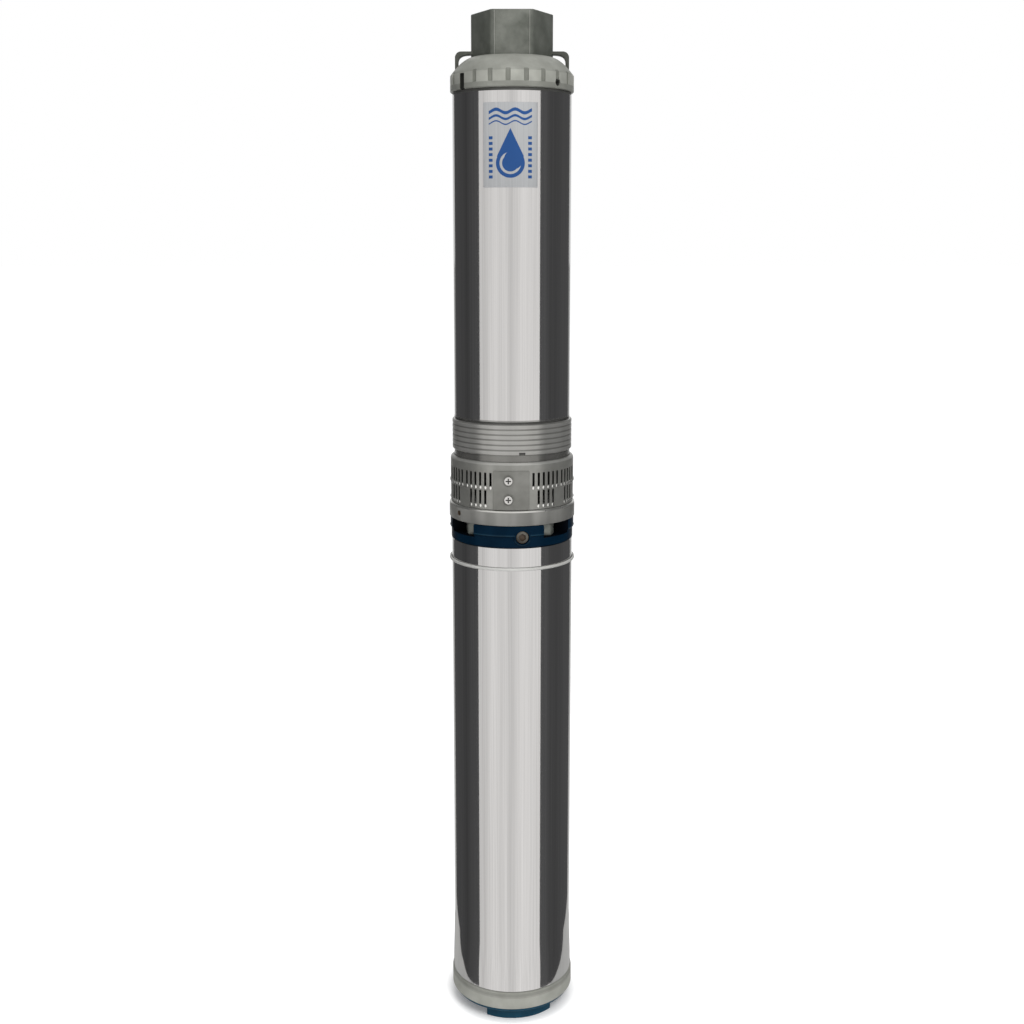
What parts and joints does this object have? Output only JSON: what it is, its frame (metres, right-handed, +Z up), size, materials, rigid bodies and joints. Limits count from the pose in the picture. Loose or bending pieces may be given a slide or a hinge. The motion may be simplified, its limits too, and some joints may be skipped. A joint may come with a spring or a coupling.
{
  "type": "borehole submersible pump",
  "caption": "Slim upright borehole pump: a canned electric motor below, a slotted suction strainer, a steel multistage pump end and a hexagonal threaded outlet with rope eyes.",
  "frame": {"origin": "on the pump's axis, level with the underside of the feet", "axes": "+Z up along the axis towards the outlet, -Y out of the front with the label"},
  "size_m": [0.0998, 0.1017, 0.7967],
  "materials": {
    "polished_steel": "polished stainless sheet with fine upright grain",
    "cast_head": "blasted casting, warm grey",
    "cast_base": "turned casting, olive grey",
    "bracket_steel": "turned stainless casting, satin",
    "strainer_steel": "punched stainless sheet, satin",
    "blue_enamel": "dark blue enamel, satin gloss",
    "label_foil": "printed foil",
    "bright_steel": "bright stainless",
    "shaft_steel": "ground",
    "inner_casting": "as cast",
    "plug_brass": "dull",
    "lamination": "varnished stack",
    "copper": "enamelled wire",
    "carbon": "pressed carbon",
    "rubber": "moulded",
    "stage_resin": "moulded engineering resin"
  },
  "bodies": {
    "housing": {"pump_shell": "polished_steel", "motor_shell": "polished_steel", "discharge_head": "cast_head", "lower_end_bell": "cast_base", "suction_bracket": "bracket_steel", "strainer": "strainer_steel", "strainer_plate": "strainer_steel", "motor_head": "blue_enamel", "bottom_cover": "blue_enamel", "label_plate": "label_foil", "plate_screw_1": "bright_steel", "plate_screw_2": "bright_steel", "head_set_screw": "bright_steel", "retaining_wire_ring": "bright_steel", "mounting_stud_1": "bright_steel", "mounting_stud_2": "bright_steel", "mounting_stud_3": "bright_steel", "mounting_stud_4": "bright_steel", "stud_nut_1": "bright_steel", "stud_nut_2": "bright_steel", "stud_nut_3": "bright_steel", "stud_nut_4": "bright_steel", "valve_spring": "shaft_steel", "diaphragm_spring": "shaft_steel", "top_bearing_spider": "inner_casting", "valve_guide": "inner_casting", "lower_bearing_bracket": "inner_casting", "fill_plug": "plug_brass", "stator_core": "lamination", "upper_winding": "copper", "lower_winding": "copper", "upper_bearing_bush": "carbon", "lower_bearing_bush": "carbon", "thrust_pad_ring": "carbon", "valve_seat": "rubber", "top_bearing_bush": "rubber", "shaft_seal": "rubber", "diaphragm": "rubber", "lead_socket": "rubber", "diffuser_1": "stage_resin", "diffuser_2": "stage_resin", "diffuser_3": "stage_resin", "diffuser_4": "stage_resin", "diffuser_5": "stage_resin"},
    "motor_rotor": {"motor_shaft": "shaft_steel", "rotor_core": "lamination", "thrust_runner": "shaft_steel", "sand_slinger": "rubber"},
    "pump_rotor": {"shaft_coupling": "shaft_steel", "pump_shaft": "shaft_steel", "shaft_sleeve": "shaft_steel", "impeller_1": "stage_resin", "impeller_2": "stage_resin", "impeller_3": "stage_resin", "impeller_4": "stage_resin", "impeller_5": "stage_resin", "bearing_sleeve": "shaft_steel", "shaft_nut": "shaft_steel"},
    "valve": {"check_valve": "stage_resin"},
    "pressure_equaliser": {"diaphragm_plate": "shaft_steel"}
  },
  "joints": [
    {"name": "motor_spin", "type": "hinge", "parent": "housing", "child": "motor_rotor", "pos_m": [0, 0, 0.23], "axis": [0, 0, 1], "continuous": true},
    {"name": "pump_spin", "type": "hinge", "parent": "housing", "child": "pump_rotor", "pos_m": [0, 0, 0.6], "axis": [0, 0, 1], "continuous": true},
    {"name": "valve_lift", "type": "slide", "parent": "housing", "child": "valve", "axis": [0, 0, 1], "range_m": [0, 0.007], "stiffness_N_per_m": 80, "springref_m": -0.01, "deforming": ["valve_spring"]},
    {"name": "equaliser_travel", "type": "slide", "parent": "housing", "child": "pressure_equaliser", "axis": [0, 0, 1], "range_m": [-0.002, 0.002], "stiffness_N_per_m": 2000, "deforming": ["diaphragm", "diaphragm_spring"]}
  ],
  "couplings": [
    {"joint": "pump_spin", "follows": "motor_spin", "ratio": 1}
  ]
}
